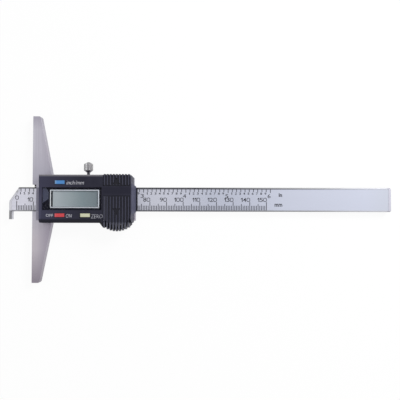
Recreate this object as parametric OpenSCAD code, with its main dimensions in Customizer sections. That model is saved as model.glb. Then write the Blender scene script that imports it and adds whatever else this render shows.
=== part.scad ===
// Digital depth gauge with a hooked beam, in millimetres.
//
// The gauge lies on its back. X runs along the beam, away from the work.
// Y runs along the base bar, and Z points out of the display.
// The origin is on the measuring face (X = 0), at the middle of the beam
// (Y = 0), in the flat back that the gauge rests on (Z = 0).
// The beam is drawn with its tip standing `reach` out of the measuring face.

/* [Beam] */
// Length of the beam, from its tip to its far end
beam_len = 229.4; // [195:0.1:280]
// Width of the beam, across the scale
beam_w = 14.4; // [11.8:0.1:18]
// Thickness of the beam
beam_t = 3.4; // [2.8:0.1:4.2]
// How far the tip stands out of the measuring face
reach = 14.2; // [11:0.1:30]
// Width of the beam's edge chamfers
edge_chamfer = 0.45; // [0.1:0.05:0.6]
// Length of the slanting corner at the tip, along the beam
taper_x = 5.6; // [3:0.1:8]
// Length of the slanting corner at the tip, across the beam
taper_y = 8; // [4:0.1:10]
// Width of the ground bevel along the tip's edges
bevel_w = 1.2; // [0.4:0.1:1.6]
// Depth of the ground bevel along the tip's edges
bevel_d = 1; // [0.3:0.1:2]
// Width of the hook's finger, along the beam
hook_w = 1.8; // [1.2:0.1:3]
// How far the hook's finger stands below the beam's edge
hook_drop = 4.8; // [3:0.1:8]
// Thickness of the scale strip let into the beam
strip_t = 0.4; // [0.2:0.05:0.8]
// Bare margin between the scale strip and the beam's edge
strip_margin = 0.75; // [0.6:0.05:1.5]

/* [End stop] */
// Length of the stop plate, along the beam
stop_len = 8; // [6:0.1:12]
// How far the stop plate sits from the beam's far end
stop_inset = 2.5; // [1:0.1:10]
// Margin between the stop plate and the beam's edge
stop_margin = 1.6; // [1:0.1:3]

/* [Base bar and frame] */
// Length of the measuring face
base_len = 100; // [75:1:160]
// Width of the base bar at its two ends
base_tip_w = 4.5; // [3:0.1:8]
// Width of the base bar where it meets the frame
base_root_w = 11.7; // [9:0.1:13]
// Thickness of the back plate behind the beam
back_t = 1.8; // [1.2:0.1:3]
// Thickness of the front lips that hold the beam in
lip_t = 0.5; // [0.3:0.05:1]
// How far the front lips reach over the beam's edges
lip_over = 1.25; // [0.8:0.05:2]
// Width of the lower rail, below the beam
rail_lo_w = 5.5; // [4.6:0.1:8]
// Width of the upper rail, which holds the screws
rail_hi_w = 4.4; // [3.8:0.1:8]
// How far the frame's end stands out from under the housing
frame_out = 0.6; // [0.2:0.1:3]
// How far the beam's slot is open at the front, from the measuring face
mouth_x = 2.15; // [1.5:0.05:4]
// Length of the slope that leads over the beam into the frame
mouth_slope = 1.5; // [0.5:0.1:2]

/* [Gib and clamp] */
// Thickness of the gib strip
gib_t = 1.5; // [1:0.1:2.5]
// Distance from the measuring face to the thumb screw
clamp_x = 33.1; // [28:0.1:36]
// Distance from the thumb screw to each gib screw
gib_screw_pitch = 14; // [8:0.1:16]
// Radius of the gib screws
gib_screw_r = 1; // [0.8:0.05:1.3]
// Radius of the thumb screw's threaded end
clamp_r = 1.2; // [0.9:0.05:1.4]
// Radius of the thumb screw's neck
neck_r = 0.88; // [0.6:0.02:1]
// Radius of the thumb screw's knurled head
knob_r = 2.7; // [2:0.05:3]
// Length of the thumb screw's knurled head, up to its dome
knob_len = 4.1; // [3:0.1:8]
// Height of the dome that ends the knurled head
knob_dome = 1; // [0.3:0.1:2]
// How far the knurled head stands off the housing
knob_gap = 2.8; // [2:0.1:8]
// Number of flutes in the knurled head
knob_flutes = 20; // [12:1:28]

/* [Housing] */
// Distance from the measuring face to the housing
house_x0 = 5.9; // [4:0.1:7]
// Length of the housing's front face
house_len = 54.2; // [46:0.1:70]
// Height of the housing above the frame
house_h = 8.4; // [8.2:0.1:11]
// Thickness of the housing's side walls
wall = 1.2; // [0.9:0.05:1.6]
// Thickness of the housing's front
front_t = 1.2; // [1:0.05:1.6]
// How far the housing's skirts hang down beside the frame
skirt_drop = 1.2; // [0.6:0.1:1.25]
// Slope of the housing's upper wall, from front to foot
draft_hi = 0.35; // [0.1:0.05:1]
// Slope of the housing's lower wall, from front to foot
draft_lo = 0.2; // [0.1:0.05:1]
// Width of the bevel between the housing's front and its lower wall
bevel_lo_w = 1.9; // [0.8:0.1:2.1]
// Depth of the bevel between the housing's front and its lower wall
bevel_lo_d = 2.2; // [2:0.1:4]
// Slope of the housing's right wall, from front to foot
draft_right = 0.8; // [0.3:0.1:1.6]
// How far the tongue over the beam stands out at its foot
tongue_out = 2.2; // [1.8:0.1:4]
// Chamfer along the housing's front edges
front_chamfer = 0.4; // [0.1:0.05:0.6]
// How far the dust wiper stands out beyond the tongue
wiper_out = 0.65; // [0.3:0.05:1.5]

/* [Window and display] */
// Distance from the housing's left end to the window
window_inset = 2; // [1.8:0.1:5]
// Distance from the window to the battery cover
window_gap = 0.9; // [0.8:0.1:3]
// Clear distance between the window and each row of buttons
row_gap = 2; // [1.45:0.05:3]
// Thickness of the window's lens
lens_t = 0.8; // [0.5:0.05:1]
// How deep the lens sits below the housing's front
lens_sink = 0.5; // [0.2:0.05:0.8]
// Distance from the window's left end to the display frame
display_inset = 4.4; // [2:0.1:6]
// Margin between the display frame and the window's right edge
display_margin = 1.45; // [1:0.05:3]
// Margin between the display frame and the window's long edges
display_rim = 1.1; // [1:0.05:2]
// Width of the display frame's bars, seen from the front
display_bar = 0.75; // [0.65:0.05:1.5]
// Depth of the display glass below the frame's front
display_sink = 0.85; // [0.4:0.05:1.2]
// Thickness of the display glass
glass_t = 1.6; // [1:0.1:2]

/* [Buttons] */
// Length of each button's cap
button_len = 5.6; // [4:0.1:7]
// Width of each button's cap
button_w = 2.1; // [1.8:0.1:2.6]
// How far the caps stand out of the housing
button_proud = 0.55; // [0.3:0.05:1]
// How far a button travels when it is pressed
button_travel = 0.5; // [0.2:0.05:0.7]
// Distance from the housing's left end to the two left buttons
button_inset = 9.6; // [8:0.1:12]
// Distance from the housing's upper edge to the upper button's middle
row_hi_inset = 4.85; // [4.2:0.05:6]
// Distance from the housing's lower edge to the lower buttons' middles
row_lo_inset = 4.55; // [4.5:0.05:6]

/* [Covers and ribs] */
// Width of the two ribbed covers
cover_w = 15.7; // [14.4:0.1:20]
// Distance from the covers to the housing's right edge
cover_inset = 0.75; // [0.65:0.05:2]
// Thickness of the covers' plates
cover_t = 1; // [0.7:0.05:1.1]
// Number of ribs on each cover
ribs = 9; // [5:2:11]
// Width of a rib at its foot
rib_w = 0.95; // [0.6:0.05:1.1]
// Height of a rib above the cover's plate
rib_h = 0.55; // [0.3:0.05:0.8]
// Upper edge of the battery cover
battery_cover_top = 1.8; // [1.4:0.1:3]
// Lower edge of the port cover
port_cover_low = 7.8; // [6:0.1:9]
// Radius of the thumb grip's foot
grip_r = 12; // [10.5:0.1:13]
// Slope of the thumb grip's wall, from front to foot
grip_draft = 3; // [1.5:0.1:3.4]
// Distance that the grip's centre lies below the beam's middle
grip_drop = 5.9; // [4:0.1:7]
// How far the grip's teeth stand out of its foot
tooth_out = 1.1; // [0.5:0.1:1.6]

/* [Electronics] */
// Thickness of the circuit board
board_t = 1; // [0.6:0.1:1.2]
// Radius of the button cell
cell_r = 5.8; // [4.7:0.05:5.8]
// Thickness of the button cell
cell_t = 5.4; // [3:0.1:5.4]
// Distance that the button cell's middle lies below the beam's middle
cell_drop = 5; // [4.6:0.1:5.5]
// Radius of the housing screws' shanks
screw_r = 1; // [0.8:0.05:1.2]
// Radius of the housing screws' heads
screw_head_r = 1.8; // [1.5:0.05:2]

/* [Hidden] */
$fn = 48;

// Clearances
run_gap = 0.05;    // between the beam and what guides it
fit_gap = 0.05;    // round a piece that is set into another
slide_gap = 0.1;   // round a cover or a button that slides
hang_gap = 0.2;    // between the housing's skirts and the frame
over = 1;          // how far a cut runs past the surface it opens

// Beam
beam_x0 = -reach;
beam_x1 = beam_x0 + beam_len;
beam_y = beam_w / 2;
beam_z0 = back_t + run_gap;
beam_z1 = beam_z0 + beam_t;
beam_mid_z = beam_z0 + beam_t / 2;
hook_fillet = 0.5;
end_corner = 0.6;
strip_gap = 0.4;      // between the strip and the bevel at the tip
strip_end_gap = 1.4;  // between the strip and the beam's far end
strip_step = 0.02;    // how deep the strip lies below the beam's face
stop_chamfer = 0.3;
stop_hole_d = 2.2;    // depth of the stop screws' bores in the beam
stop_screw_at = 0.55; // their place across the stop, from its middle to its edge

// Base bar and frame
base_t = beam_z1 + run_gap + lip_t;
base_corner = 0.6;
slot_lo = -beam_y - run_gap;
slot_hi = beam_y + gib_t + 2 * run_gap;
frame_y0 = slot_lo - rail_lo_w;
frame_y1 = slot_hi + rail_hi_w;
sensor_y = beam_y - lip_over;
sensor_x0 = 13;
notch_x = 1.1;
mouth_slope_d = 0.3;
pin_hole_r = 0.4;
pin_hole_x = 1.65;
pin_hole_inset = 0.5; // from the slot's edge to the pin hole's middle

// Housing
top_z = base_t + house_h;
inner_z = top_z - front_t;
skirt_z = base_t - skirt_drop;
hollow_chamfer = 0.2;
bevel_lo_z = top_z - bevel_lo_d;
corner_r = 0.6;       // the two left corners, in plan
corner_right_r = 1.1; // the lower right corner, in plan
corner_depth = 1.2;   // the flat on the upper right corner, in plan
shoulder_run = 2.4;   // the shoulder beside the grip, along X
shoulder_out = 3.1;   // and along Y
tongue_side = 0.4;    // how much wider the tongue is than the beam, each side
tongue_flare = 1.3;
house_x1 = house_x0 + house_len;
house_y0 = frame_y0 - hang_gap - wall;
house_y1 = frame_y1 + hang_gap + wall;
foot_x1 = house_x1 + draft_right;
frame_x0 = house_x0 - 1;
frame_x1 = foot_x1 + frame_out;
rail_hi_x1 = foot_x1 - 0.2;

// Covers
cover_x1 = house_x1 - cover_inset;
cover_x0 = cover_x1 - cover_w;
cover_mid = (cover_x0 + cover_x1) / 2;
cover_z1 = top_z - 0.25;
cover_z0 = cover_z1 - cover_t;
rib_z1 = cover_z1 + rib_h;
rib_top_w = rib_w * 0.45;
rib_margin = 0.25;
rib_pitch = (cover_w - 2 * rib_margin - rib_w) / (ribs - 1);
guide_t = 0.5;
guide_w = 0.35;
rail_in = 0.8;
grip_y = -grip_drop;
grip_step = 0.3;
cover_back_y = frame_y0 + 0.3;
tooth_y = grip_y - 0.6;
tooth_r = grip_r - 0.6 + tooth_out;
arrow_w = 4.6;
arrow_h = 4;
arrow_z = cover_z1 - 0.25;

// Window, display and buttons
row_hi = house_y1 - row_hi_inset;
row_lo = house_y0 + row_lo_inset;
window_x0 = house_x0 + window_inset;
window_x1 = cover_x0 - window_gap;
window_y0 = row_lo + button_w / 2 + row_gap;
window_y1 = row_hi - button_w / 2 - row_gap;
lens_z1 = top_z - lens_sink;
lens_z0 = lens_z1 - lens_t;
tray_t = 1;
tray_margin = 0.9;
display_x0 = window_x0 + display_inset;
display_x1 = window_x1 - display_margin;
display_y0 = window_y0 + display_rim;
display_y1 = window_y1 - display_rim;
display_z1 = lens_z0 - fit_gap;
display_lip = 0.5;
glass_z1 = display_z1 - display_sink;
glass_z0 = glass_z1 - glass_t;
reflector_t = 0.15;
button_x = house_x0 + button_inset + button_len / 2;
zero_share = 0.553;
zero_x0 = button_x + button_len / 2
    + zero_share * (cover_x0 - button_x - 3 * button_len / 2);
zero_x = zero_x0 + button_len / 2;
flange_out = 0.5;
flange_t = 0.55;
button_chamfer = 0.15;
stem_r = 0.8;
dome_r = 2.1;
dome_h = 0.5;

// Electronics
board_z0 = base_t;
board_z1 = board_z0 + board_t;
board_x0 = house_x0 + wall + 0.4;
board_x1 = foot_x1 - wall - 0.5;
board_y0 = frame_y0 + 0.4;
board_y1 = frame_y1 - 0.3;
leaf_t = 0.2;
cell_z0 = board_z1 + leaf_t;
cell_z1 = cell_z0 + cell_t;
clip_t = 0.25;

// Housing screws: they come from the back, through the frame, into the bosses
boss_r = 1.9;
boss_gap = 0.25;
boss_x = [house_x0 + 3.5, foot_x1 - wall - 2];
boss_y = [frame_y0 + 2.35, frame_y1 - 2.2];
boss_z1 = board_z1 + 2.4;
screw_len = base_t + 2.6;
head_h = 0.9;
head_sink = 0.1;
slot_w = 0.5;
slot_d = 0.4;

// ---------------------------------------------------------------- helpers

// A box between two corners
module block(x0, x1, y0, y1, z0, z1) {
    translate([x0, y0, z0])
        cube([x1 - x0, y1 - y0, z1 - z0]);
}

// A flat shape drawn in Y and Z, run along X
module along_x(x0, x1) {
    translate([x0, 0, 0])
        rotate([90, 0, 90])
            linear_extrude(height = x1 - x0)
                children();
}

// A flat shape drawn in X and Z, run along Y
module along_y(y0, y1) {
    translate([0, y1, 0])
        rotate([90, 0, 0])
            linear_extrude(height = y1 - y0)
                children();
}

// A box whose four upper edges are chamfered
module chamfered_block(x0, x1, y0, y1, z0, z1, c) {
    intersection() {
        along_x(x0, x1)
            polygon([[y0, z0], [y1, z0], [y1, z1 - c], [y1 - c, z1], [y0 + c, z1], [y0, z1 - c]]);
        along_y(y0, y1)
            polygon([[x0, z0], [x1, z0], [x1, z1 - c], [x1 - c, z1], [x0 + c, z1], [x0, z1 - c]]);
    }
}

// A cylinder whose axis runs along Y, from y0 up to y1
module rod_y(x, z, y0, y1, r) {
    translate([x, y0, z])
        rotate([-90, 0, 0])
            cylinder(h = y1 - y0, r = r);
}

// The block that rounds off a corner of a plan outline when it is cut away
module corner_cut(x, y, sx, sy, r, z0, z1) {
    translate([x, y, z0])
        mirror([sx > 0 ? 0 : 1, 0, 0])
            mirror([0, sy > 0 ? 0 : 1, 0])
                linear_extrude(height = z1 - z0)
                    difference() {
                        translate([-over, -over]) square(r + over);
                        translate([r, r]) circle(r);
                    }
}

// ---------------------------------------------------------------- beam

function beam_outline() = [
    [beam_x0, -beam_y - hook_drop],
    [beam_x0 + hook_w, -beam_y - hook_drop],
    [beam_x0 + hook_w, -beam_y],
    [beam_x1 - end_corner, -beam_y],
    [beam_x1, -beam_y + end_corner],
    [beam_x1, beam_y - end_corner],
    [beam_x1 - end_corner, beam_y],
    [beam_x0 + taper_x, beam_y],
    [beam_x0, beam_y - taper_y]
];

// A three-sided cut along an edge of the front face, from point a to point b
module edge_bevel(a, b, w, d) {
    run = norm(b - a);
    turn = atan2(b[1] - a[1], b[0] - a[0]);
    translate([a[0], a[1], beam_z1])
        rotate([0, 0, turn])
            along_x(-over, run + over)
                polygon([[-over, over], [w + over * w / d, over], [w, 0], [0, -d], [-over, -d]]);
}

module beam() {
    lower_edge = [[beam_x0 + hook_w, -beam_y], [beam_x1, -beam_y]];
    upper_edge = [[beam_x1, beam_y], [beam_x0 + taper_x, beam_y]];
    slant_edge = [[beam_x0 + taper_x, beam_y], [beam_x0, beam_y - taper_y]];
    left_edge = [[beam_x0, beam_y - taper_y], [beam_x0, -beam_y - hook_drop]];
    color("gainsboro")
        difference() {
            union() {
                translate([0, 0, beam_z0])
                    linear_extrude(height = beam_t)
                        polygon(beam_outline());
                translate([0, 0, beam_z0])
                    linear_extrude(height = beam_t)
                        difference() {
                            translate([beam_x0 + hook_w - 0.1, -beam_y - hook_fillet])
                                square([hook_fillet + 0.1, hook_fillet + 0.1]);
                            translate([beam_x0 + hook_w + hook_fillet, -beam_y - hook_fillet])
                                circle(hook_fillet);
                        }
            }
            edge_bevel(lower_edge[0] + [hook_fillet, 0], lower_edge[1], edge_chamfer, edge_chamfer);
            edge_bevel(upper_edge[0], upper_edge[1], edge_chamfer, edge_chamfer);
            edge_bevel(slant_edge[0], slant_edge[1], bevel_w, bevel_d);
            edge_bevel(left_edge[0], left_edge[1], bevel_w / 2, bevel_d / 2);
            strip_form(fit_gap, over);
            for (p = stop_screw_places())
                translate([p[0], p[1], beam_z0 - over])
                    cylinder(h = over + stop_hole_d, r = screw_r + fit_gap);
        }
}

// The scale strip's form; grow widens it and rise lifts its front
module strip_form(grow, rise) {
    x0 = beam_x0 + bevel_w + strip_gap;
    x1 = beam_x1 - strip_end_gap + grow;
    y = beam_y - strip_margin;
    slant = taper_x / taper_y;
    shift = (bevel_w + strip_gap) * norm([taper_x, taper_y]) / taper_y;
    translate([0, 0, beam_z1 - strip_t])
        linear_extrude(height = strip_t - strip_step + rise)
            polygon([
                [x0 - grow, -y - grow],
                [x1, -y - grow],
                [x1, y + grow],
                [beam_x0 + shift + slant * (taper_y - strip_margin) - grow, y + grow],
                [x0 - grow, beam_y - taper_y + (x0 - beam_x0 - shift) / slant + grow]
            ]);
}

module scale_strip() {
    color("lavender")
        strip_form(0, 0);
}

// ---------------------------------------------------------------- end stop

stop_x1 = beam_x1 - stop_inset;
stop_x0 = stop_x1 - stop_len;
stop_y = beam_y - stop_margin;
function stop_screw_places() = [for (s = [-1, 1]) [(stop_x0 + stop_x1) / 2, s * stop_y * stop_screw_at]];

module end_stop() {
    color("silver")
        difference() {
            translate([0, 0, beam_z0])
                mirror([0, 0, 1])
                    chamfered_block(stop_x0, stop_x1, -stop_y, stop_y, 0, beam_z0, stop_chamfer);
            for (p = stop_screw_places())
                translate([p[0], p[1], 0]) {
                    cylinder(h = beam_z0 + over, r = screw_r + fit_gap);
                    countersink(0);
                }
        }
}

module end_stop_screws() {
    color("dimgray")
        for (p = stop_screw_places())
            translate([p[0], p[1], 0])
                flat_screw(beam_z0 + stop_hole_d - 0.3);
}

// ---------------------------------------------------------------- small screws

// A countersunk seat that opens downwards at height z
module countersink(z) {
    translate([0, 0, z - over])
        cylinder(h = over + head_sink + fit_gap, r = screw_head_r + fit_gap);
    translate([0, 0, z + head_sink + fit_gap])
        cylinder(h = head_h, r1 = screw_head_r + fit_gap, r2 = screw_r + fit_gap);
}

// A slotted countersunk screw with its head down, its shank ending at z
module flat_screw(z) {
    difference() {
        union() {
            translate([0, 0, head_sink])
                cylinder(h = head_h, r1 = screw_head_r, r2 = screw_r);
            translate([0, 0, head_sink + head_h / 2])
                cylinder(h = z - head_sink - head_h / 2, r = screw_r);
        }
        translate([-screw_head_r - over, -slot_w / 2, head_sink - over])
            cube([2 * (screw_head_r + over), slot_w, over + slot_d]);
    }
}

module housing_screws() {
    color("dimgray")
        for (x = boss_x, y = boss_y)
            translate([x, y, 0])
                flat_screw(screw_len);
}

// ---------------------------------------------------------------- slider

function base_outline() = let (half = base_len / 2) [
        [0, -half],
        [base_tip_w - base_corner, -half],
        [base_tip_w, -half + base_corner],
        [base_root_w, -frame_y1],
        [base_root_w, frame_y1],
        [base_tip_w, half - base_corner],
        [base_tip_w - base_corner, half],
        [0, half]
    ];

module slider_base() {
    color("silver")
        difference() {
            union() {
                linear_extrude(height = base_t)
                    polygon(base_outline());
                block(frame_x0, frame_x1, frame_y0, frame_y1, 0, base_t);
            }
            // the beam's way through, open at the front near the measuring face
            block(-over, frame_x1 + over, slot_lo, slot_hi, back_t, base_t - lip_t);
            block(-over, mouth_x, slot_lo, slot_hi, back_t, base_t + over);
            block(-over, notch_x, beam_y + run_gap, slot_hi, -over, base_t + over);
            // the slope over the beam, where it enters
            along_y(-beam_y, beam_y)
                polygon([
                    [mouth_x - over, base_t - mouth_slope_d * (1 + over / mouth_slope)],
                    [mouth_x + mouth_slope, base_t], [mouth_x + mouth_slope, base_t + over],
                    [mouth_x - over, base_t + over]
                ]);
            // the window under the sensor, between the two lips
            block(sensor_x0, frame_x1 + over, -sensor_y, sensor_y, back_t, base_t + over);
            // the upper rail stops short of the lower one
            block(rail_hi_x1, frame_x1 + over, slot_hi - over / 2, frame_y1 + over, -over, base_t + over);
            // the clamp's bore and the gib screws' bores
            rod_y(clamp_x, beam_mid_z, slot_hi - over, frame_y1 + over, clamp_r + run_gap);
            for (s = [-1, 1])
                rod_y(clamp_x + s * gib_screw_pitch, beam_mid_z, slot_hi - over, frame_y1 + over,
                      gib_screw_r + fit_gap);
            // the housing screws' bores
            for (x = boss_x, y = boss_y)
                translate([x, y, 0]) {
                    cylinder(h = base_t + over, r = screw_r + fit_gap);
                    countersink(0);
                }
        }
}

module gib_strip() {
    color("rosybrown")
        difference() {
            block(notch_x, rail_hi_x1, beam_y + run_gap, slot_hi - run_gap,
                  beam_z0, base_t - lip_t - run_gap);
            translate([pin_hole_x, slot_hi - pin_hole_inset, 0])
                cylinder(h = base_t + over, r = pin_hole_r);
        }
}

module gib_screws() {
    depth = rail_hi_w - 1;
    color("dimgray")
        for (s = [-1, 1])
            difference() {
                rod_y(clamp_x + s * gib_screw_pitch, beam_mid_z, slot_hi - run_gap, slot_hi + depth,
                      gib_screw_r);
                block(clamp_x + s * gib_screw_pitch - slot_w / 2,
                      clamp_x + s * gib_screw_pitch + slot_w / 2,
                      slot_hi + depth - slot_d, slot_hi + depth + over,
                      beam_mid_z - gib_screw_r - over, beam_mid_z + gib_screw_r + over);
            }
}

module thumb_screw() {
    tip_y = slot_hi + 0.15;
    shoulder_y = frame_y1 - 0.2;
    cone_y = house_y1 + knob_gap - 1.3;
    knob_y = house_y1 + knob_gap;
    end_y = knob_y + knob_len;
    flute_r = 0.28;
    color("darkgray")
        translate([clamp_x, 0, beam_mid_z])
            rotate([-90, 0, 0])
                difference() {
                    rotate_extrude()
                        polygon([
                            [0, tip_y], [clamp_r - 0.3, tip_y], [clamp_r, tip_y + 0.3],
                            [clamp_r, shoulder_y - 0.25], [neck_r, shoulder_y],
                            [neck_r, cone_y], [knob_r - 0.25, knob_y - 0.15], [knob_r, knob_y + 0.1],
                            [knob_r, end_y - 0.2], [knob_r - 0.3, end_y],
                            [knob_r * 0.6, end_y + knob_dome * 0.55],
                            [knob_r * 0.25, end_y + knob_dome], [0, end_y + knob_dome]
                        ]);
                    for (i = [0 : knob_flutes - 1])
                        rotate([0, 0, i * 360 / knob_flutes])
                            translate([knob_r + flute_r * 0.35, 0, knob_y - 0.05])
                                cylinder(h = knob_len + knob_dome, r = flute_r, $fn = 16);
                }
}

// ---------------------------------------------------------------- housing

// How far a height lies from the front (0) to the foot (1)
function depth_at(z) = (top_z - z) / house_h;
function wall_hi(z) = house_y1 - draft_hi * (1 - depth_at(z));
function wall_lo(z) = house_y0 + draft_lo * (1 - depth_at(z))
    + bevel_lo_w * max(0, z - bevel_lo_z) / bevel_lo_d;
function wall_right(z) = house_x1 + draft_right * depth_at(z);
function tongue_x(z) = house_x1 + tongue_out * depth_at(z);
function grip_at(z) = grip_r - grip_draft * (1 - depth_at(z));

// The housing's main block, drawn in by `inset` at each wall
module main_form(inset, z0, z1, c) {
    x0 = house_x0 + inset;
    intersection() {
        along_x(x0, foot_x1 + over)
            polygon([
                [wall_lo(z0) + inset, z0], [wall_hi(z0) - inset, z0],
                [wall_hi(z1 - c) - inset, z1 - c], [wall_hi(z1) - inset - c, z1],
                [wall_lo(z1) + inset + c, z1], [wall_lo(z1 - c) + inset, z1 - c],
                [wall_lo(bevel_lo_z) + inset, bevel_lo_z]
            ]);
        along_y(house_y0 - over, house_y1 + over)
            polygon([
                [x0, z0], [wall_right(z0) - inset, z0],
                [wall_right(z1 - c) - inset, z1 - c], [wall_right(z1) - inset - c, z1],
                [x0 + c, z1], [x0, z1 - c]
            ]);
    }
}

// The thumb grip's cone, drawn in by `inset`
module grip_form(inset, z0, z1) {
    intersection() {
        translate([cover_mid, grip_y, z0])
            cylinder(h = z1 - z0, r1 = grip_at(z0) - inset, r2 = grip_at(z1) - inset);
        along_y(grip_y - grip_r - over, grip_y)
            polygon([
                [cover_mid - grip_r, z0], [wall_right(z0) - grip_step - inset, z0],
                [wall_right(z1) - grip_step - inset, z1], [cover_mid - grip_r, z1]
            ]);
    }
}

// All that lies above a plane through [x, y, z], turned in plan and leaning back
module behind_plane(x, y, z, turn, lean) {
    translate([x, y, z])
        rotate([0, 0, turn])
            rotate([-lean, 0, 0])
                translate([-20, 0, -20])
                    cube([60, 40, 60]);
}

// The shoulder that leads from the housing's lower edge out to the grip
module shoulder_form() {
    x0 = cover_x0 - shoulder_run;
    y1 = house_y0 - shoulder_out;
    turn = atan2(-shoulder_out, shoulder_run);
    intersection() {
        block(x0 - over, cover_x0 - slide_gap, y1 - over, wall_lo(top_z) + over, skirt_z, top_z);
        behind_plane(x0, house_y0, base_t, turn, atan(draft_lo / house_h));
        behind_plane(x0, wall_lo(bevel_lo_z), bevel_lo_z, turn, atan(bevel_lo_w / bevel_lo_d));
    }
}

module tongue_form() {
    y = beam_y + tongue_side;
    flare = tongue_flare;
    x0 = house_x1 - wall;
    z1 = top_z - front_chamfer - 0.1;
    intersection() {
        along_y(-y - flare, y + flare)
            polygon([
                [wall_right(base_t) - wall / 2, base_t], [tongue_x(base_t), base_t],
                [tongue_x(z1), z1], [wall_right(z1) - wall / 2, z1]
            ]);
        translate([0, 0, base_t])
            linear_extrude(height = house_h)
                polygon([
                    [x0, -y - flare], [foot_x1, -y - flare], [tongue_x(base_t), -y + 0.2],
                    [tongue_x(base_t), y - 0.2], [foot_x1, y + flare], [x0, y + flare]
                ]);
    }
}

// A cover's opening through the front, with the grooves that guide it
module cover_opening(y0, y1, z0) {
    g = slide_gap;
    block(cover_x0 - g, cover_x1 + g, y0, y1, z0, top_z + over);
    block(cover_x0 - guide_w - g, cover_x1 + guide_w + g, y0, y1,
          inner_z - guide_t - 2 * g, inner_z);
}

module housing_shell() {
    difference() {
        union() {
            difference() {
                union() {
                    main_form(0, skirt_z, top_z, front_chamfer);
                    grip_form(0, skirt_z, top_z);
                    shoulder_form();
                }
                // the hollow that holds the electronics
                main_form(wall, skirt_z - over, inner_z, hollow_chamfer);
                grip_form(wall, base_t, inner_z);
                // the base bar and the frame below
                block(-over, base_root_w + hang_gap, -base_len, base_len, 0, base_t);
                block(-over, frame_x1 + over, frame_y0 - hang_gap, frame_y1 + hang_gap, 0, base_t);
            }
            tongue_form();
            // the tray under the lens
            block(window_x0 - tray_margin, window_x1 + min(tray_margin, window_gap - 0.3),
                  window_y0 - tray_margin, window_y1 + tray_margin, lens_z0 - tray_t, inner_z + 0.1);
        }
        // the corners, rounded in plan
        corner_cut(house_x0, house_y0, 1, 1, corner_r, skirt_z - over, top_z + over);
        corner_cut(house_x0, house_y1, 1, -1, corner_r, skirt_z - over, top_z + over);
        corner_cut(foot_x1, house_y0, -1, 1, corner_right_r, skirt_z - over, top_z + over);
        translate([foot_x1, house_y1, skirt_z - over])
            rotate([0, 0, 45])
                translate([-corner_depth, -4, 0])
                    cube([4, 8, house_h + skirt_drop + 2 * over]);
        // the lens's pocket and the display's opening
        block(window_x0 - fit_gap, window_x1 + fit_gap, window_y0 - fit_gap, window_y1 + fit_gap,
              lens_z0, top_z + over);
        block(display_x0 - fit_gap, display_x1 + fit_gap, display_y0 - fit_gap,
              display_y1 + fit_gap, base_t, top_z);
        // the buttons' holes
        for (p = [[button_x, row_hi], [button_x, row_lo], [zero_x, row_lo]])
            block(p[0] - button_len / 2 - slide_gap, p[0] + button_len / 2 + slide_gap,
                  p[1] - button_w / 2 - slide_gap, p[1] + button_w / 2 + slide_gap,
                  inner_z - over, top_z + over);
        // the battery cover's way out, through the lower wall
        cover_opening(grip_y - grip_r - over, battery_cover_top + slide_gap, inner_z - over / 2);
        block(cover_x0 - slide_gap, cover_x1 + slide_gap, grip_y - grip_r - over,
              cover_back_y + slide_gap, base_t, top_z + over);
        // the port cover's opening, over the upper edge
        cover_opening(port_cover_low - slide_gap, house_y1 + over, inner_z - over / 2);
        block(cover_x0 - slide_gap, cover_x1 + slide_gap, house_y1 - wall - draft_hi - 0.15,
              house_y1 + over, port_wall_z - slide_gap, top_z + over);
    }
}

// The bosses for the screws from the back, each with a web to the wall
module bosses() {
    difference() {
        for (i = [0, 1], y = boss_y) {
            translate([boss_x[i], y, base_t])
                cylinder(h = boss_z1 - base_t, r = boss_r);
            block(i == 0 ? house_x0 + wall / 2 : boss_x[i],
                  i == 0 ? boss_x[i] : foot_x1 - wall,
                  y - 0.6, y + 0.6, base_t, boss_z1);
        }
        for (x = boss_x, y = boss_y)
            translate([x, y, base_t - over])
                cylinder(h = screw_len - base_t + over + 0.4, r = screw_r + fit_gap);
    }
}

module housing() {
    color("darkslategray") {
        housing_shell();
        bosses();
    }
}

// ---------------------------------------------------------------- covers

function rib_x(i) = cover_mid + (i - (ribs - 1) / 2) * rib_pitch;
function tooth_tip(x) = tooth_y - sqrt(max(0.01, pow(tooth_r, 2) - pow(x - cover_mid, 2)));
function grip_wall(x, z) = grip_y - sqrt(max(0.01, pow(grip_at(z), 2) - pow(x - cover_mid, 2)));

// One rib on a cover's plate
module plate_rib(x, y0, y1) {
    along_y(y0, y1)
        polygon([
            [x - rib_w / 2, cover_z1 - 0.2], [x + rib_w / 2, cover_z1 - 0.2],
            [x + rib_w / 2, cover_z1], [x + rib_top_w / 2, rib_z1],
            [x - rib_top_w / 2, rib_z1], [x - rib_w / 2, cover_z1]
        ]);
}

// One tooth on the grip's wall, in line with a rib
module grip_tooth(x) {
    t = rib_w * 0.8;
    tip = tooth_tip(x);
    along_x(x - t / 2, x + t / 2)
        polygon([
            [grip_wall(x, cover_z1) + 1.2, cover_z1 - 0.5],
            [grip_wall(x, cover_z1) + 1.2, cover_z1 + rib_h * 0.8],
            [tip + 1.3, cover_z1 + 0.1],
            [tip + 0.3, cover_z1 - 0.6],
            [tip, cover_z1 - 1.5],
            [tip, cover_z1 - 5.5],
            [grip_wall(x, base_t + 0.6), base_t + 0.6],
            [grip_wall(x, base_t + 0.6) + 0.6, base_t + 0.6]
        ]);
}

// The sunken arrow on a cover, pointing along Y by `way`
module arrow_cut(y, way) {
    translate([cover_mid, y, arrow_z])
        linear_extrude(height = over * 2)
            polygon([
                [-arrow_w / 2, -way * arrow_h / 2], [arrow_w / 2, -way * arrow_h / 2],
                [0, way * arrow_h / 2]
            ]);
}

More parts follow.
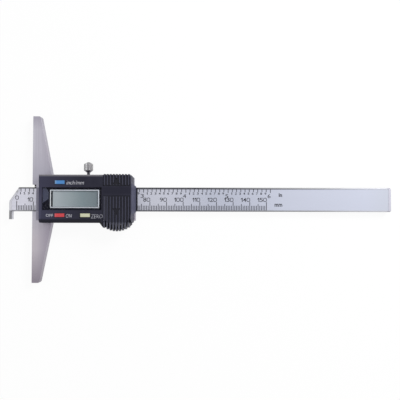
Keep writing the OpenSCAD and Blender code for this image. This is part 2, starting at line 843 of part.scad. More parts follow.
// The strips under a cover's plate, with the tongues that slide in the housing
module cover_guides(y0, y1) {
    for (s = [0, 1])
        translate([s * 2 * cover_mid, 0, 0])
            mirror([s, 0, 0]) {
                block(cover_x0, cover_x0 + rail_in, y0, y1,
                      inner_z - guide_t - slide_gap, cover_z0 + 0.1);
                block(cover_x0 - guide_w, cover_x0 + 0.1, y0, y1,
                      inner_z - guide_t - slide_gap, inner_z - slide_gap);
            }
}

module battery_cover() {
    foot = base_t + slide_gap;
    color("darkslategray")
        difference() {
            union() {
                difference() {
                    union() {
                        block(cover_x0, cover_x1, grip_y, battery_cover_top, cover_z0, cover_z1);
                        intersection() {
                            grip_form(0, foot, cover_z1);
                            block(cover_x0, cover_x1, grip_y - grip_r, grip_y + over, foot, cover_z1);
                        }
                    }
                    grip_form(cover_t, foot - over, cover_z0);
                    block(cover_x0 - over, cover_x1 + over, cover_back_y,
                          battery_cover_top + over, foot - over, cover_z0);
                }
                cover_guides(grip_y - 0.5, battery_cover_top - 0.3);
                for (i = [0 : ribs - 1]) {
                    plate_rib(rib_x(i), grip_wall(rib_x(i), cover_z1) + 0.9, battery_cover_top - 0.4);
                    difference() {
                        grip_tooth(rib_x(i));
                        block(rib_x(i) - rib_w, rib_x(i) + rib_w, cover_back_y, 0, foot - over, cover_z0);
                    }
                }
            }
            arrow_cut(grip_y - 1.6, -1);
        }
}

port_wall_z = board_z1 + 0.4;

module port_cover() {
    edge_y = wall_hi(top_z) - 0.1;
    color("darkslategray")
        difference() {
            union() {
                block(cover_x0, cover_x1, port_cover_low, edge_y, cover_z0, cover_z1);
                block(cover_x0, cover_x1, edge_y - wall + 0.1, edge_y, port_wall_z, cover_z1);
                cover_guides(port_cover_low + 0.2, edge_y - wall);
                for (i = [0 : ribs - 1]) {
                    plate_rib(rib_x(i), port_cover_low + 0.4, edge_y - 0.1);
                    along_x(rib_x(i) - rib_w * 0.4, rib_x(i) + rib_w * 0.4)
                        polygon([
                            [edge_y - 0.4, port_wall_z + 0.4], [edge_y - 0.4, rib_z1],
                            [edge_y, rib_z1], [edge_y + 0.55, cover_z1 - 0.3],
                            [edge_y + 0.55, port_wall_z + 1], [edge_y, port_wall_z + 0.4]
                        ]);
                }
            }
            arrow_cut((port_cover_low + edge_y) / 2 - 0.4, 1);
        }
}

// ---------------------------------------------------------------- window and display

module window_lens() {
    color("black")
        chamfered_block(window_x0, window_x1, window_y0, window_y1, lens_z0, lens_z1, 0.1);
}

module display_frame() {
    b = display_bar;
    w = b - display_lip;
    color("gainsboro")
        difference() {
            chamfered_block(display_x0, display_x1, display_y0, display_y1, board_z1, display_z1, 0.12);
            block(display_x0 + b, display_x1 - b, display_y0 + b, display_y1 - b,
                  board_z1 - over, display_z1 + over);
            block(display_x0 + w, display_x1 - w, display_y0 + w, display_y1 - w,
                  board_z1 - over, glass_z1 + fit_gap);
        }
}

module display_glass() {
    w = display_bar - display_lip + fit_gap;
    color("darkseagreen")
        difference() {
            block(display_x0 + w, display_x1 - w, display_y0 + w, display_y1 - w, glass_z0, glass_z1);
            // the upper plate is shorter, so that the lower one bares its contacts
            block(display_x0, display_x1, display_y0, display_y0 + w + 0.3,
                  glass_z0 + glass_t / 2, glass_z1 + over);
        }
}

module display_reflector() {
    b = display_bar;
    color("lightgray")
        block(display_x0 + b, display_x1 - b, display_y0 + b + 1.8, display_y1 - b,
              glass_z0 - reflector_t, glass_z0);
}

module contact_strip() {
    b = display_bar;
    color("gray")
        block(display_x0 + b + 0.6, display_x1 - b - 0.6, display_y0 + b - 0.2, display_y0 + b + 1.5,
              board_z1, glass_z0);
}

// ---------------------------------------------------------------- buttons

module button(x, y) {
    chamfered_block(x - button_len / 2, x + button_len / 2, y - button_w / 2, y + button_w / 2,
                    inner_z - slide_gap, top_z + button_proud, button_chamfer);
    block(x - button_len / 2 - flange_out, x + button_len / 2 + flange_out,
          y - button_w / 2 - flange_out, y + button_w / 2 + flange_out,
          inner_z - slide_gap - flange_t, inner_z - slide_gap);
    stem_z = board_z1 + dome_h + button_travel + slide_gap;
    translate([x, y, stem_z])
        cylinder(h = inner_z - slide_gap - flange_t - stem_z + 0.1, r = stem_r);
}

module button_units() {
    color("steelblue") button(button_x, row_hi);
}

module button_power() {
    color("indianred") button(button_x, row_lo);
}

module button_zero() {
    color("palegoldenrod") button(zero_x, row_lo);
}

module switch_domes() {
    color("silver")
        for (p = [[button_x, row_hi], [button_x, row_lo], [zero_x, row_lo]])
            translate([p[0], p[1], board_z1])
                rotate_extrude()
                    polygon([
                        [0, 0], [dome_r, 0], [dome_r * 0.8, dome_h * 0.5],
                        [dome_r * 0.45, dome_h * 0.9], [0, dome_h]
                    ]);
}

// ---------------------------------------------------------------- electronics

cell_x = cover_mid;
cell_y = -cell_drop;
port_pitch = 2.2;
port_x = [for (i = [0 : 3]) cover_mid + (i - 1.5) * port_pitch];

module circuit_board() {
    color("darkgreen")
        difference() {
            block(board_x0, board_x1, board_y0, board_y1, board_z0, board_z1);
            // its corners give way to the bosses
            for (i = [0, 1], j = [0, 1]) {
                translate([boss_x[i], boss_y[j], board_z0 - over])
                    cylinder(h = board_t + 2 * over, r = boss_r + boss_gap);
                block(i == 0 ? board_x0 - over : boss_x[i], i == 0 ? boss_x[i] : board_x1 + over,
                      j == 0 ? board_y0 - over : boss_y[j] - boss_r - boss_gap,
                      j == 0 ? boss_y[j] + boss_r + boss_gap : board_y1 + over,
                      board_z0 - over, board_z1 + over);
            }
        }
}

module controller_chip() {
    r = 3;
    h = 0.9;
    ball = (r * r + h * h) / (2 * h);
    color("black")
        intersection() {
            translate([(display_x0 + display_x1) / 2, (display_y0 + display_y1) / 2 + 1,
                       board_z1 + h - ball])
                sphere(ball);
            translate([(display_x0 + display_x1) / 2, (display_y0 + display_y1) / 2 + 1, board_z1])
                cylinder(h = h + 1, r = r + 1);
        }
}

module board_parts() {
    color("goldenrod") {
        // the clock crystal, lying on the board
        translate([button_x + 6, row_hi + 0.4, board_z1 + 1])
            rotate([0, 90, 0])
                cylinder(h = 6, r = 1);
        // two capacitors
        for (i = [0, 1])
            block(button_x + 14.5 + 3 * i, button_x + 16.5 + 3 * i, row_hi - 0.3, row_hi + 0.95,
                  board_z1, board_z1 + 0.8);
    }
}

module port_contacts() {
    color("gold")
        for (x = port_x)
            block(x - 0.7, x + 0.7, board_y1 - 2.6, board_y1 - 0.2, board_z1, board_z1 + 0.1);
}

module battery() {
    color("silver")
        translate([cell_x, cell_y, cell_z0])
            rotate_extrude()
                polygon([
                    [0, 0], [cell_r - 1.4, 0], [cell_r - 1.2, 0.45], [cell_r - 0.35, 0.5],
                    [cell_r, 0.85], [cell_r, cell_t - 0.25], [cell_r - 0.25, cell_t], [0, cell_t]
                ]);
}

module battery_clip() {
    r = cell_r + fit_gap;
    color("khaki")
        intersection() {
            difference() {
                translate([cell_x, cell_y, board_z1])
                    cylinder(h = cell_t - 0.6, r = r + clip_t);
                translate([cell_x, cell_y, board_z1 - over])
                    cylinder(h = cell_t + 2, r = r);
            }
            block(cell_x - cell_r, cell_x + cell_r, cell_y + cell_r * 0.62, cell_y + cell_r + 1,
                  board_z1 - over, cell_z1);
        }
}

module battery_leaf() {
    color("khaki")
        union() {
            block(cell_x - 4, cell_x + 4, cell_y - 1.2, cell_y + 1.2, board_z1, board_z1 + leaf_t);
            block(cell_x - 1.2, cell_x + 1.2, cell_y - 4, cell_y + 4, board_z1, board_z1 + leaf_t);
        }
}

module dust_wiper() {
    y = beam_y - 0.3;
    nose_x = tongue_x(base_t) + 0.05;
    color("black")
        union() {
            block(nose_x - 2, nose_x + 0.1, -sensor_y + slide_gap, sensor_y - slide_gap,
                  beam_z1 + run_gap, base_t - run_gap);
            block(nose_x, nose_x + wiper_out, -y, y, beam_z1 + run_gap, base_t + 0.35);
        }
}

// ---------------------------------------------------------------- the assembly

slider_base();
gib_strip();
gib_screws();
thumb_screw();
beam();
scale_strip();
end_stop();
end_stop_screws();
housing();
window_lens();
display_frame();
display_glass();
display_reflector();
contact_strip();
circuit_board();
controller_chip();
board_parts();
button_units();
button_power();
button_zero();
switch_domes();
battery();
battery_clip();
battery_leaf();
battery_cover();
port_contacts();
port_cover();
dust_wiper();
housing_screws();
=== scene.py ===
# Looks for the digital depth gauge: materials for every CAD node, the etched
# scales, the printed lettering, the painted shade round the display, the painted
# reflection in the window, and the studio round them. Colours are 8-bit and
# places are in millimetres, except where a line says otherwise.
import math
import bmesh
import bpy
from mathutils import Matrix, Vector


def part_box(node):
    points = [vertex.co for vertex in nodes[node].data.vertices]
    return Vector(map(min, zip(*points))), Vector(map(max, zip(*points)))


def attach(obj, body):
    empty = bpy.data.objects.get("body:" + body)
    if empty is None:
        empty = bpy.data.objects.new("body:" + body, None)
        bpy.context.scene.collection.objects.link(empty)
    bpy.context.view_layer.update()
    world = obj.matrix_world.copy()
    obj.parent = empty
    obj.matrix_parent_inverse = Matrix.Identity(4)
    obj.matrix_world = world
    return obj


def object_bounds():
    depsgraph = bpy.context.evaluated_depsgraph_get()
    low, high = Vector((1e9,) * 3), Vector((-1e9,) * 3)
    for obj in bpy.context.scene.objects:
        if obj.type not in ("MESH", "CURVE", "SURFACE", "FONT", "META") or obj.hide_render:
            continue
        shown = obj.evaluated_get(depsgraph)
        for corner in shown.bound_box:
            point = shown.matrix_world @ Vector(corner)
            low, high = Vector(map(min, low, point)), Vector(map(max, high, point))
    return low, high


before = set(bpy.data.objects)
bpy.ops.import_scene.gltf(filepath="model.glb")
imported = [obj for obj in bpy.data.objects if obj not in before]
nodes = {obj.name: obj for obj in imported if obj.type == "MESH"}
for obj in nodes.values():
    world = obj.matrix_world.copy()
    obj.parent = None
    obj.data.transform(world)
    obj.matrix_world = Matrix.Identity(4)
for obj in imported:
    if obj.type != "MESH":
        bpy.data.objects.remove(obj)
cad_lo, cad_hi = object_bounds()
scene = bpy.context.scene
MM = 0.001
X, Y, Z = 0, 1, 2
LOW, HIGH = 0, 1


def edge(node, axis, side):
    """The low or high side of a CAD node's box along an axis."""
    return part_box(node)[side][axis] / MM


BEAM_X0 = edge("beam", X, LOW)            # the beam's tip
STRIP_Z = edge("scale_strip", Z, HIGH)    # the face that carries the scales
FRONT_Z = edge("housing", Z, HIGH)        # the housing's front face
CASE_X0 = edge("housing", X, LOW)         # the housing's left side
COVER_Z = edge("battery_cover", Z, HIGH)  # the tops of the covers' ribs
ZERO_X = BEAM_X0 + 4.6                    # where both scales begin


# ------------------------------------------------------------------ materials

def linear(r, g, b):
    """An 8-bit colour as Blender's linear one."""
    out = []
    for c in (r, g, b):
        c /= 255
        out.append(c / 12.92 if c <= 0.04045 else ((c + 0.055) / 1.055) ** 2.4)
    return (*out, 1.0)


class Mat:
    """A Principled material with procedural colour, roughness and bump."""

    def __init__(self, name, rgb, rough=0.5, metallic=0.0, spec=0.5):
        self.m = bpy.data.materials.new(name)
        self.m.use_nodes = True
        self.t = self.m.node_tree
        self.b = self.t.nodes["Principled BSDF"]
        self.b.inputs["Base Color"].default_value = linear(*rgb)
        self.b.inputs["Roughness"].default_value = rough
        self.b.inputs["Metallic"].default_value = metallic
        self.b.inputs["Specular IOR Level"].default_value = spec
        self.rgb = rgb
        self.rough = rough
        self.color = None
        self.normal = None
        self.coord = self.node("ShaderNodeTexCoord").outputs["Object"]

    def node(self, kind, **values):
        n = self.t.nodes.new(kind)
        for k, v in values.items():
            setattr(n, k, v)
        return n

    def link(self, a, b):
        self.t.links.new(a, b)

    def noise(self, scale, stretch=(1, 1, 1), detail=3.0):
        """Noise whose features are about 1/scale metres, stretched by axis."""
        mp = self.node("ShaderNodeMapping")
        mp.inputs["Scale"].default_value = stretch
        self.link(self.coord, mp.inputs["Vector"])
        n = self.node("ShaderNodeTexNoise")
        n.inputs["Scale"].default_value = scale
        n.inputs["Detail"].default_value = detail
        n.inputs["Roughness"].default_value = 0.55
        self.link(mp.outputs["Vector"], n.inputs["Vector"])
        return n.outputs["Fac"]

    def ramp(self, value, lo, hi, a=0.0, b=1.0):
        """Goes from a to b as value goes from lo to hi, and stays there."""
        r = self.node("ShaderNodeMapRange")
        for key, v in zip(("From Min", "From Max", "To Min", "To Max"), (lo, hi, a, b)):
            r.inputs[key].default_value = v
        self.link(value, r.inputs["Value"])
        return r.outputs["Result"]

    def part(self, vector, axis):
        s = self.node("ShaderNodeSeparateXYZ")
        self.link(vector, s.inputs["Vector"])
        return s.outputs[axis]

    def math(self, op, *values):
        m = self.node("ShaderNodeMath", operation=op)
        for i, v in enumerate(values):
            if isinstance(v, (int, float)):
                m.inputs[i].default_value = v
            else:
                self.link(v, m.inputs[i])
        return m.outputs[0]

    def along(self, axis, lo, hi, a=0.0, b=1.0):
        """Goes from a to b between two places on an axis."""
        return self.ramp(self.part(self.coord, axis), lo * MM, hi * MM, a, b)

    def within(self, axis, lo, hi, soft=0.05):
        """1 between two places on an axis, and 0 outside them."""
        return self.math("MULTIPLY", self.along(axis, lo - soft, lo + soft),
                         self.along(axis, hi - soft, hi + soft, 1.0, 0.0))

    def facing(self, axis, lo, hi, a=0.0, b=1.0):
        """Goes from a to b as the true normal's part along an axis goes from lo to hi."""
        g = self.node("ShaderNodeNewGeometry")
        return self.ramp(self.part(g.outputs["True Normal"], axis), lo, hi, a, b)

    def tint(self, rgb, *factors):
        """Mixes the colour so far towards rgb by the product of the factors."""
        amount = factors[0]
        for f in factors[1:]:
            amount = self.math("MULTIPLY", amount, f)
        mix = self.node("ShaderNodeMix", data_type="RGBA", clamp_factor=True)
        if self.color:
            self.link(self.color, mix.inputs["A"])
        else:
            mix.inputs["A"].default_value = linear(*self.rgb)
        mix.inputs["B"].default_value = linear(*rgb)
        self.link(amount, mix.inputs["Factor"])
        self.color = mix.outputs["Result"]
        self.link(self.color, self.b.inputs["Base Color"])

    def mottle(self, rgb, scale, stretch=(1, 1, 1), lo=0.35, hi=0.7):
        """Uneven colour: noise mixes in a second one."""
        self.tint(rgb, self.ramp(self.noise(scale, stretch), lo, hi))

    def uneven(self, spread, scale, stretch=(1, 1, 1)):
        """Uneven roughness, by spread each way."""
        out = self.ramp(self.noise(scale, stretch), 0.3, 0.7,
                        self.rough - spread, self.rough + spread)
        self.link(out, self.b.inputs["Roughness"])

    def soft_edges(self, radius):
        """Rounds the look of sharp edges, by a radius in metres; called before grain."""
        n = self.node("ShaderNodeBevel", samples=4)
        n.inputs["Radius"].default_value = radius
        self.normal = n.outputs["Normal"]
        self.link(self.normal, self.b.inputs["Normal"])

    def grain(self, scale, depth, stretch=(1, 1, 1), detail=2.0):
        """Relief of about depth metres."""
        bump = self.node("ShaderNodeBump")
        bump.inputs["Strength"].default_value = 1.0
        bump.inputs["Distance"].default_value = depth
        self.link(self.noise(scale, stretch, detail), bump.inputs["Height"])
        if self.normal:
            self.link(self.normal, bump.inputs["Normal"])
        self.normal = bump.outputs["Normal"]
        self.link(self.normal, self.b.inputs["Normal"])


EDGE = 0.00012      # how far edges look rounded, in metres


def steel(name, rgb, dark, rough, lines=X, metallic=0.85, radius=EDGE):
    """Ground steel whose lines run along one axis."""
    stretch = [1, 1, 1]
    stretch[lines] = 0.02
    m = Mat(name, rgb, rough, metallic)
    m.mottle(dark, 1400, stretch, 0.35, 0.75)
    m.uneven(0.07, 1800, stretch)
    m.soft_edges(radius)
    m.grain(9000, 1.5e-6, stretch)
    return m


def plastic(name, rgb, dark, rough=0.45, spec=0.3):
    """Moulded plastic with a fine spark-eroded texture."""
    m = Mat(name, rgb, rough, spec=spec)
    m.mottle(dark, 260, lo=0.3, hi=0.75)
    m.uneven(0.08, 900)
    m.soft_edges(EDGE)
    m.grain(5200, 6e-6, detail=4.0)
    return m


def dress(m, *names):
    for n in names:
        nodes[n].data.materials.clear()
        nodes[n].data.materials.append(m.m)


base = steel("base_steel", (190, 188, 198), (174, 172, 182), 0.42, Y)
base.tint((182, 176, 183), base.along(Y, -8, -24))                                # the lower arm
base.tint((164, 161, 173), base.along(Y, 42, 49))                                 # the upper end
base.tint((161, 155, 168), base.along(X, 1, 13))                                  # the far side
# painted shade below the housing's lower left
base.tint((148, 141, 154), base.along(X, 3, 12), base.along(Y, -8, -20))
base.tint((140, 136, 148), base.along(X, 9.5, 11.5), base.within(Y, 12.5, 20, 1))
base.tint((166, 164, 176), base.along(Y, 30, 12), base.along(Y, -12, 0))          # the middle
base.tint((136, 129, 140), base.along(Y, -30, -50))                               # the lower end
base.tint((112, 111, 126), base.within(X, 2.1, 3.7), base.within(Y, -7.3, 7.1),   # painted shade of the housing over the beam's slot
          base.along(Z, 5.3, 5.5), 0.9)
# painted shade of the housing on the base below the slot
base.tint((110, 107, 122), base.within(X, 2.3, 3.7, 0.3), base.within(Y, -12.6, -7.3, 0.4), 0.75)
dress(base, "slider_base")

gib = steel("gib_steel", (168, 166, 170), (150, 148, 154), 0.4)
# painted shade: the gib goes black where it sinks into the slot
gib.tint((10, 10, 12), gib.along(Z, 5.18, 5.05))
gib.tint((16, 16, 20), gib.within(X, 1.1, 2.3), gib.within(Y, 7.8, 8.8))          # painted shade in the pin's hole
dress(gib, "gib_strip")

dark_steel = steel("dark_steel", (96, 96, 98), (70, 70, 74), 0.42, Z)
dress(dark_steel, "gib_screws", "end_stop_screws", "housing_screws")

knob = steel("knob_steel", (166, 165, 166), (112, 110, 113), 0.3, Y)
for x0, x1, rgb in (                                        # light along the knurls
    (31.6, 32.5, (200, 200, 202)),
    (32.6, 33.8, (144, 143, 146)),
    (34.4, 35.0, (150, 149, 152)),
):
    knob.tint(rgb, knob.within(X, x0, x1, 0.2))
knob.tint((140, 139, 146), knob.along(Y, 17.5, 17.2))       # the cone under the knurls
knob.tint((58, 57, 64), knob.along(Y, 16.3, 15.8))          # painted shade on the neck under the knurled head
dress(knob, "thumb_screw")

beam = steel("beam_steel", (192, 193, 196), (178, 179, 183), 0.46, metallic=0.6)
beam.tint((205, 205, 213), beam.along(X, -6, -10))
# painted highlight: lighter towards the right end
beam.tint((210, 211, 219), beam.along(X, 170, 210))
beam.tint((180, 179, 191), beam.along(X, 212.5, 213.5))
top_side = beam.facing(Z, 0.2, 0.4)
beam.tint((58, 58, 64), beam.along(Y, 6.4, 6.6), top_side,                        # painted shade on the upper edge's chamfer, fading to the right
          beam.along(X, 100, 190, 1.0, 0.0))
beam.tint((80, 80, 88), beam.along(Y, -6.4, -6.6), top_side,                      # painted shade on the lower edge's chamfer, fading to the right
          beam.along(X, 100, 190, 1.0, 0.1), beam.along(X, -2, 30, 0.45, 1.0))
beam.tint((134, 134, 138), beam.along(Y, -6.9, -7.3), top_side)                   # the hook
dress(beam, "beam")

strip = steel("strip_steel", (214, 214, 226), (202, 202, 215), 0.5, metallic=0.35)
for x0, x1, rgb in (                                        # painted reflection: lighter and darker bands along the strip
    (-8, 1, (234, 234, 246)),
    (0, 50, (189, 191, 203)),
    (78, 108, (174, 178, 193)),
    (122, 150, (184, 188, 203)),
    (200, 214, (180, 184, 196)),
):
    strip.tint(rgb, strip.along(X, x0, x1))
strip.tint((88, 88, 98), strip.along(Y, 5.9, 6.1), strip.along(X, 10, 60),        # painted shade along the upper rim, fading to the right
           strip.along(X, 140, 210, 0.85, 0.1))
dress(strip, "scale_strip")

dress(steel("stop_steel", (168, 168, 172), (150, 150, 156), 0.4, Y), "end_stop")

case = plastic("case_plastic", (43, 43, 56), (35, 35, 47), spec=0.13)
case.tint((62, 62, 82), case.along(X, 30, 5, 0.0, 0.85))                          # painted light: lighter towards the left
# painted highlight along the upper part of the left edge
case.tint((70, 70, 90), case.along(X, CASE_X0 + 1.7, CASE_X0 + 1.1), case.along(Y, 6, 0))
case.tint((33, 33, 46), case.along(X, 42.5, 44), case.within(Y, 3, 7, 0.5))       # by the covers
case.tint((122, 120, 126), case.along(Y, 12.93, 13.93), case.facing(Z, 0.3, 0.6)) # painted highlight along the upper edge
case.tint((20, 21, 34), case.within(X, 7.85, 42.8), case.within(Y, -6.6, 6.75),   # painted shade in the window's recess
          case.along(Z, 14.15, 14.05), case.facing(X, 0.5, 0.3))
case.tint((16, 16, 29), case.facing(Y, -0.2, -0.5),                               # painted shade on the lower side
          case.facing(Z, 0.9, 0.6, 0.5, 1.0))
case.tint((81, 82, 101), case.facing(X, 0.05, 0.3),                               # painted light on the right wall
          case.along(Z, 14.0, 13.6, 0.0, 0.84))
case.tint((62, 62, 76), case.facing(X, 0.05, 0.3),                                # less painted light at its two ends
          case.ramp(case.math("ABSOLUTE", case.part(case.coord, Y)), 8.5 * MM, 10.5 * MM))
dress(case, "housing")

cover = plastic("cover_plastic", (34, 34, 45), (26, 26, 36), 0.4, spec=0.2)
cover.tint((62, 63, 78), cover.along(Z, COVER_Z - 0.3, COVER_Z - 0.1))            # painted highlight on the ribs' tops
cover.tint((21, 21, 31), cover.along(Z, COVER_Z - 0.7, COVER_Z - 0.85))           # painted shade between the ribs
cover.tint((96, 96, 110), cover.facing(Y, -0.25, -0.35),                          # painted highlight on the teeth's sloping bends
           cover.facing(Z, 0.25, 0.35))
# painted highlight on the first rib, at the covers' left end below the middle
cover.tint((78, 78, 92), cover.along(X, 46.8, 44.5, 0.0, 0.4), cover.along(Y, 4, 2))
# painted highlight on the teeth at the lower end
cover.tint((84, 85, 98), cover.along(Z, 13.9, 14.1), cover.along(Y, -13.4, -14.2))
dress(cover, "battery_cover", "port_cover")

lens = Mat("lens_clear", (8, 8, 14), 0.04, spec=0.25)
lens.mottle((14, 14, 22), 120)
lens.uneven(0.02, 500)
lens.b.inputs["Alpha"].default_value = 0.06
dress(lens, "window_lens")

bezel = steel("bezel_plating", (220, 226, 236), (210, 216, 226), 0.34, radius=EDGE / 2)
# painted shade along the inner left edge
bezel.tint((24, 25, 30), bezel.within(X, 12.9, 13.5), bezel.within(Y, -4.75, 4.95))
bezel.tint((246, 250, 255), bezel.along(X, 12.9, 12.6))                           # painted highlight on the left bar
bezel.tint((40, 42, 48), bezel.along(Y, 5.3, 5.5))                                # painted shade along the upper edge
bezel.tint((198, 202, 211), bezel.along(Y, -4.0, -4.6))                           # the lower bar
dress(bezel, "display_frame")

glass = Mat("display_film", (188, 197, 203), 0.3, spec=0.2)
glass.mottle((183, 193, 199), 160)
glass.tint((142, 157, 163), glass.along(X, 15, 31))         # painted shade: darker to the right, over this line and the next
glass.tint((126, 137, 144), glass.along(X, 31, 42))
glass.grain(3000, 1e-6)
dress(glass, "display_glass")

dress(steel("reflector_foil", (180, 182, 182), (160, 164, 164), 0.45), "display_reflector")

zebra = Mat("zebra_rubber", (70, 70, 76), 0.7)
zebra.mottle((180, 170, 150), 2500, (1, 0.02, 0.02), 0.45, 0.55)
dress(zebra, "contact_strip")

board = Mat("board_mask", (22, 84, 40), 0.35)
board.mottle((16, 66, 32), 700, (1, 0.3, 1), 0.45, 0.55)
board.grain(2500, 4e-6)
dress(board, "circuit_board")

resin = Mat("chip_resin", (12, 12, 13), 0.25)
resin.mottle((22, 22, 24), 500)
resin.grain(900, 2e-5)
dress(resin, "controller_chip")

dress(steel("tinned_metal", (190, 188, 180), (165, 162, 152), 0.3), "board_parts")

blue = plastic("blue_plastic", (78, 137, 200), (74, 128, 186), 0.5)
blue.tint((122, 158, 198), blue.along(X, 16.8, 15.8))       # a lighter left end
dress(blue, "button_units")
red = plastic("red_plastic", (206, 74, 80), (190, 60, 68), 0.5)
red.tint((200, 110, 120), red.along(X, 16.6, 15.8, 0.0, 0.5))
dress(red, "button_power")
dress(plastic("yellow_plastic", (205, 206, 178), (194, 196, 166), 0.5), "button_zero")

dress(steel("dome_steel", (196, 196, 198), (176, 176, 180), 0.25), "switch_domes")
dress(steel("cell_steel", (200, 200, 204), (178, 178, 184), 0.28), "battery")
dress(steel("spring_bronze", (196, 160, 96), (168, 132, 76), 0.3), "battery_clip", "battery_leaf")
dress(steel("gold_plate", (226, 188, 100), (208, 168, 84), 0.22), "port_contacts")

felt = Mat("wiper_felt", (22, 22, 27), 0.9, spec=0.2)
felt.mottle((34, 34, 40), 3000)
felt.grain(7000, 3e-5, (1, 0.4, 1))
dress(felt, "dust_wiper")


def printed(name, rgb, other, scale, spec):
    """Ink or paint with slightly uneven cover."""
    m = Mat(name, rgb, 0.6, spec=spec)
    m.mottle(other, scale)
    m.grain(6000, 2e-6)
    return m


ink = printed("etched_marks", (44, 44, 52), (60, 60, 68), 900, 0.2)
paint = printed("label_paint", (232, 232, 240), (204, 204, 214), 1500, 0.3)
# a dark sheet that stands in for painted shade round the display
frame_shade = plastic("frame_shade_black", (52, 56, 62), (40, 43, 50), 0.5)
# a lighter sheet that stands in for a painted reflection on the lens
lens_glare = plastic("lens_glare_paint", (72, 76, 98), (63, 66, 87), 0.4)


# ------------------------------------------------------------------ meshes

def add(name, bm, m, body):
    """Makes a piece of a bmesh that is in metres, and lets it ride."""
    bmesh.ops.recalc_face_normals(bm, faces=bm.faces)
    me = bpy.data.meshes.new(name)
    bm.to_mesh(me)
    bm.free()
    me.materials.append(m.m)
    ob = bpy.data.objects.new(name, me)
    scene.collection.objects.link(ob)
    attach(ob, body)


def verts(bm, points, z):
    return [bm.verts.new((x * MM, y * MM, z * MM)) for x, y in points]


def prism(bm, points, z0, z1):
    """A closed prism over a flat outline."""
    low, high = verts(bm, points, z0), verts(bm, points, z1)
    bm.faces.new(low[::-1])
    bm.faces.new(high)
    for i in range(len(points)):
        j = (i + 1) % len(points)
        bm.faces.new((low[i], low[j], high[j], high[i]))


def bar(bm, x0, x1, y0, y1, z0, z1):
    prism(bm, [(x0, y0), (x1, y0), (x1, y1), (x0, y1)], z0, z1)


def letters(bm, text, box, z0, z1, shear=0.0, weight=0.0):
    """Text stretched into a box (x0, x1, y0, y1), as closed solids."""
    c = bpy.data.curves.new("word", "FONT")
    c.body, c.size, c.extrude, c.shear, c.offset = text, 1.0, 0.1, shear, weight
    c.resolution_u = 3
    ob = bpy.data.objects.new("word", c)
    scene.collection.objects.link(ob)
    bpy.context.view_layer.update()
    me = bpy.data.meshes.new_from_object(ob.evaluated_get(bpy.context.evaluated_depsgraph_get()))
    part = bmesh.new()
    part.from_mesh(me)
    bmesh.ops.remove_doubles(part, verts=part.verts, dist=1e-4)
    sides = []      # for each axis: the text's own low side and size, and those it gets
    for axis, lo, hi in ((X, box[0], box[1]), (Y, box[2], box[3]), (Z, z0, z1)):
        own = [v.co[axis] for v in part.verts]
        sides.append((min(own), max(own) - min(own), lo, hi - lo))
    made = {v.index: bm.verts.new([(lo + (v.co[axis] - own) / size * wide) * MM
                                   for axis, (own, size, lo, wide) in enumerate(sides)])
            for v in part.verts}
    for f in part.faces:
        bm.faces.new([made[v.index] for v in f.verts])
    part.free()
    bpy.data.objects.remove(ob)
    bpy.data.curves.remove(c)
    bpy.data.meshes.remove(me)


# ------------------------------------------------------------------ the two scales

SINK, PROUD = 0.01, 0.015                    # how far ink goes into its surface and stands out
Z0, Z1 = STRIP_Z - SINK, STRIP_Z + PROUD     # the marks' foot and face
MM_FOOT, IN_FOOT = -6.4, 6.4                 # where the marks begin, by the beam's edges
MM_TOP = -3.65                               # where a millimetre mark ends
MM_FIVE, MM_TEN, MM_ZERO = -2.6, -1.4, -0.9  # and every fifth, every tenth and the first
IN_LOW, IN_TEN = 4.55, 4.1                   # where an inch mark ends, and every tenth
IN_ZERO_FOOT = 5.3                           # where the first inch mark begins
MM_LAST, IN_LAST = 150, 60                   # the last mark of each scale
TENTH = 25.4 / 10                            # a tenth of an inch
TICK = 0.40                                  # a mark's width
ONE_STROKE = TICK + 0.06                     # the stroke of a 1
ONE_FLAG = (0.26, 0.28, 0.45)                # how far down the flag's corners lie, of a 1's height
ZERO_CUT, ZERO_STROKE = 0.45, 0.34           # the corners and the stroke of a 0


def zero(bm, x0, x1, y0, y1):
    """A 0: a rectangular loop with cut corners."""
    rows = []
    for d, c in ((0.0, ZERO_CUT), (ZERO_STROKE, ZERO_CUT * 0.6)):
        a, b, e, f = x0 + d, x1 - d, y0 + d, y1 - d
        flat = [(a + c, e), (b - c, e), (b, e + c), (b, f - c),
                (b - c, f), (a + c, f), (a, f - c), (a, e + c)]
        rows += [verts(bm, flat, z) for z in (Z0, Z1)]
    outer0, outer1, inner0, inner1 = rows
    for i in range(8):
        j = (i + 1) % 8
        bm.faces.new((outer0[i], outer0[j], outer1[j], outer1[i]))
        bm.faces.new((inner0[j], inner0[i], inner1[i], inner1[j]))
        bm.faces.new((outer1[i], outer1[j], inner1[j], inner1[i]))
        bm.faces.new((outer0[j], outer0[i], inner0[i], inner0[j]))


def one(bm, x0, x1, y0, y1):
    """A 1: an upright at the right side, with a flag."""
    foot = x1 - ONE_STROKE
    inner, upper, lower = (y1 - k * (y1 - y0) for k in ONE_FLAG)
    prism(bm, [(foot, y0), (x1, y0), (x1, y1), (foot, y1),
               (x0, upper), (x0, lower), (foot, inner)], Z0, Z1)


def figure(bm, text, right, y0, y1, wide, one_wide, gap, weight=0.0):
    """A number that ends at the side right. A 1 has a width of its own."""
    for ch in reversed(text):
        left = right - (one_wide if ch == "1" else wide)
        if ch == "1":
            one(bm, left, right, y0, y1)
        elif ch == "0":
            zero(bm, left, right, y0, y1)
        else:
            letters(bm, ch, (left, right, y0, y1), Z0, Z1, weight=weight)
        right = left - gap


def tick(bm, x, y0, y1):
    bar(bm, x - TICK / 2, x + TICK / 2, y0, y1, Z0, Z1)


